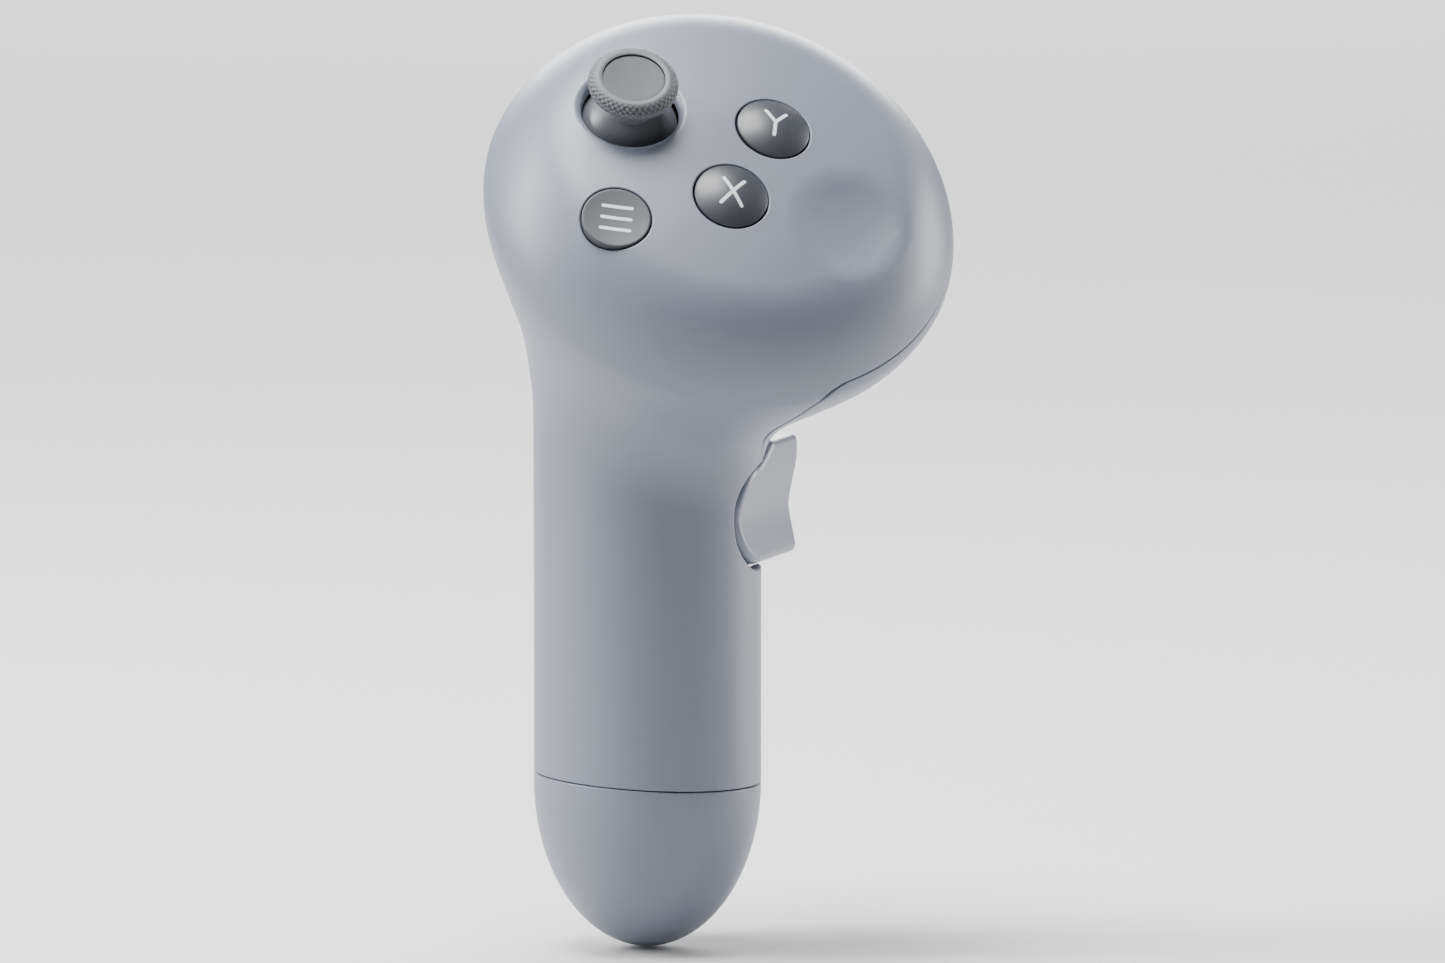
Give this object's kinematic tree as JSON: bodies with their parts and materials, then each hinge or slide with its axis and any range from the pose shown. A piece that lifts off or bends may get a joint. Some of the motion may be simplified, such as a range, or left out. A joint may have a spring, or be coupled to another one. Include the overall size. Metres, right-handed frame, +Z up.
{
  "type": "motion controller",
  "caption": "Hand-held tracked motion controller: round handle with battery cap, tilted disc head, thumb stick, face buttons, thumb rest, index trigger and grip lever.",
  "frame": {"origin": "on the handle axis, in the middle of the plain cylinder of the handle, 40 mm above the lowest tip", "axes": "+Z up the handle towards the head, +Y the pointing direction, +X the inner side that carries the grip lever"},
  "size_m": [0.0631, 0.0575, 0.1305],
  "materials": {
    "shell": "fine matt moulded plastic, pale cool grey",
    "cover": "fine matt moulded plastic, pale cool grey",
    "lever": "satin moulded plastic, pale cool grey",
    "button": "smooth dark grey with a light legend",
    "menu": "satin dark grey with a light legend",
    "stick_rubber": "knurled soft-touch rubber",
    "stick_inlay": "satin dished disc",
    "stick_plastic": "smooth satin",
    "steel": "drawn steel",
    "spring_steel": "bright spring wire",
    "magnet": "nickel plated",
    "cell": "plain sleeve",
    "frame_plastic": "glass-filled dark plastic",
    "board": "solder-masked laminate",
    "black_part": "moulded package",
    "white_plastic": "acetal",
    "silicone": "moulded silicone",
    "copper": "copper on film",
    "flex": "polyimide film",
    "motor": "stamped can"
  },
  "bodies": {
    "root": {"main_shell": "shell", "front_cover": "cover", "battery_tube": "frame_plastic", "battery_cell": "cell", "battery_contact": "steel", "grip_pin": "steel", "grip_spring": "spring_steel", "grip_bracket": "frame_plastic", "sensor_board": "board", "hall_sensors": "black_part", "trigger_pin": "steel", "trigger_spring": "spring_steel", "trigger_bracket": "frame_plastic", "button_mat": "silicone", "button_board": "board", "chassis": "frame_plastic", "main_board": "board", "stick_spring": "spring_steel", "click_switch": "black_part", "stick_housing": "black_part", "touch_pad": "copper", "led_flex": "flex", "tracking_leds": "black_part", "haptic_motor": "motor", "haptic_cradle": "frame_plastic", "shell_screws": "steel", "cover_screws": "steel", "board_screws": "steel"},
    "grip": {"grip_lever": "lever", "grip_magnet": "magnet"},
    "trigger": {"index_trigger": "lever", "trigger_magnet": "magnet"},
    "button_x": {"button_x": "button"},
    "button_y": {"button_y": "button"},
    "menu": {"menu_button": "menu"},
    "stick_carrier": {"stick_carrier": "white_plastic"},
    "stick_yoke": {"stick_yoke": "steel"},
    "stick": {"stick_cap": "stick_rubber", "stick_inlay": "stick_inlay", "stick_dome": "stick_plastic", "stick_shaft": "steel"},
    "cap": {"battery_cap": "shell", "cap_seal": "stick_rubber", "battery_spring": "spring_steel", "release_spring": "spring_steel"},
    "release": {"cap_release": "cover"}
  },
  "joints": [
    {"name": "grip_squeeze", "type": "hinge", "parent": "root", "child": "grip", "pos_m": [0.01016, -0.00089, 0.0336], "axis": [0.0872, 0.9962, 0], "range_deg": [0, 8], "stiffness_Nm_per_rad": 0.25, "springref_deg": -5.73},
    {"name": "trigger_pull", "type": "hinge", "parent": "root", "child": "trigger", "pos_m": [-0.0007, 0.00968, 0.0665], "axis": [-0.9613, -0.2756, 0], "range_deg": [0, 15], "stiffness_Nm_per_rad": 0.25, "springref_deg": -5.73},
    {"name": "button_x_press", "type": "slide", "parent": "root", "child": "button_x", "axis": [-0.3871, 0.6526, -0.6513], "range_m": [0, 0.0009], "stiffness_N_per_m": 400, "springref_m": -0.0004},
    {"name": "button_y_press", "type": "slide", "parent": "root", "child": "button_y", "axis": [-0.4101, 0.5652, -0.7158], "range_m": [0, 0.0009], "stiffness_N_per_m": 400, "springref_m": -0.0004},
    {"name": "menu_press", "type": "slide", "parent": "root", "child": "menu", "axis": [-0.2807, 0.7214, -0.633], "range_m": [0, 0.00045], "stiffness_N_per_m": 400, "springref_m": -0.0004},
    {"name": "stick_click", "type": "slide", "parent": "root", "child": "stick_carrier", "axis": [-0.2663, 0.6168, -0.7407], "range_m": [0, 0.0004], "stiffness_N_per_m": 900, "springref_m": -0.0006},
    {"name": "stick_tilt_fore", "type": "hinge", "parent": "stick_carrier", "child": "stick_yoke", "pos_m": [-0.00221, -0.00392, 0.07324], "axis": [0.8784, 0.4717, 0.077], "range_deg": [-12, 12], "stiffness_Nm_per_rad": 0.02},
    {"name": "stick_tilt_side", "type": "hinge", "parent": "stick_yoke", "child": "stick", "pos_m": [-0.00221, -0.00392, 0.07324], "axis": [-0.3969, 0.6302, 0.6674], "range_deg": [-12, 12], "stiffness_Nm_per_rad": 0.02},
    {"name": "cap_slide", "type": "slide", "parent": "root", "child": "cap", "axis": [0, 0, -1], "range_m": [0, 0.06]},
    {"name": "release_press", "type": "slide", "parent": "cap", "child": "release", "axis": [-0.8572, -0.515, 0], "range_m": [0, 0.0008], "stiffness_N_per_m": 500, "springref_m": -0.0004, "deforming": ["release_spring"]}
  ]
}
